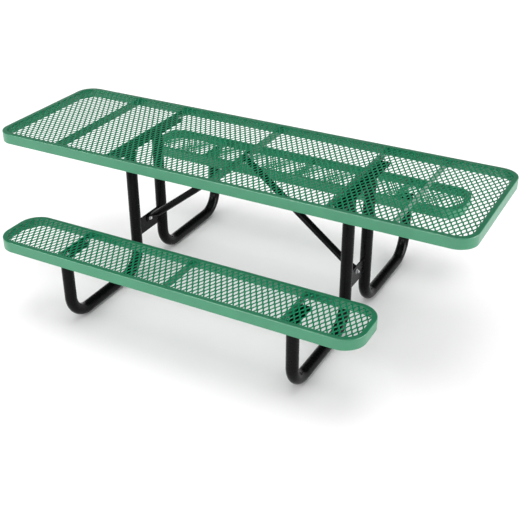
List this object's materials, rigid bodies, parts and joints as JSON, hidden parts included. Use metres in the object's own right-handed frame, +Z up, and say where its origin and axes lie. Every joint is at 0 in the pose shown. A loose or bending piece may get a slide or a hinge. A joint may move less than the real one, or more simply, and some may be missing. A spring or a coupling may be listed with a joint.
{
  "type": "picnic table",
  "caption": "Rectangular picnic table with an expanded-metal top and two attached benches on bent tube leg frames with diagonal braces.",
  "frame": {"origin": "on the ground under the centre of the table top", "axes": "+X along the table's length, +Y across towards the far bench, +Z up"},
  "size_m": [2.438, 1.563, 0.7619],
  "materials": {
    "coated_mesh": "gloss",
    "green_coating": "gloss",
    "black_frame": "satin",
    "zinc_hardware": "satin"
  },
  "bodies": {
    "root": {"brace_head_bolt": "zinc_hardware", "brace_left": "black_frame", "brace_right": "black_frame", "far_bench_rim_far": "green_coating", "far_bench_rim_left": "green_coating", "far_bench_rim_near": "green_coating", "far_bench_rim_right": "green_coating", "far_bench_sheet": "coated_mesh", "far_bench_web_centre": "green_coating", "far_bench_web_left": "green_coating", "far_bench_web_right": "green_coating", "far_leg_left": "black_frame", "far_leg_right": "black_frame", "far_seat_angle_left": "black_frame", "far_seat_angle_right": "black_frame", "hex_bolts": "zinc_hardware", "hex_nuts": "zinc_hardware", "near_bench_rim_far": "green_coating", "near_bench_rim_left": "green_coating", "near_bench_rim_near": "green_coating", "near_bench_rim_right": "green_coating", "near_bench_sheet": "coated_mesh", "near_bench_web_centre": "green_coating", "near_bench_web_left": "green_coating", "near_bench_web_right": "green_coating", "near_leg_left": "black_frame", "near_leg_right": "black_frame", "near_seat_angle_left": "black_frame", "near_seat_angle_right": "black_frame", "tie_plate_left": "black_frame", "tie_plate_right": "black_frame", "top_angle_left": "black_frame", "top_angle_right": "black_frame", "top_rim_far": "green_coating", "top_rim_left": "green_coating", "top_rim_near": "green_coating", "top_rim_right": "green_coating", "top_sheet": "coated_mesh", "top_web_centre": "green_coating", "top_web_left_end": "green_coating", "top_web_left_frame": "green_coating", "top_web_right_end": "green_coating", "top_web_right_frame": "green_coating", "washers": "zinc_hardware"}
  },
  "joints": []
}
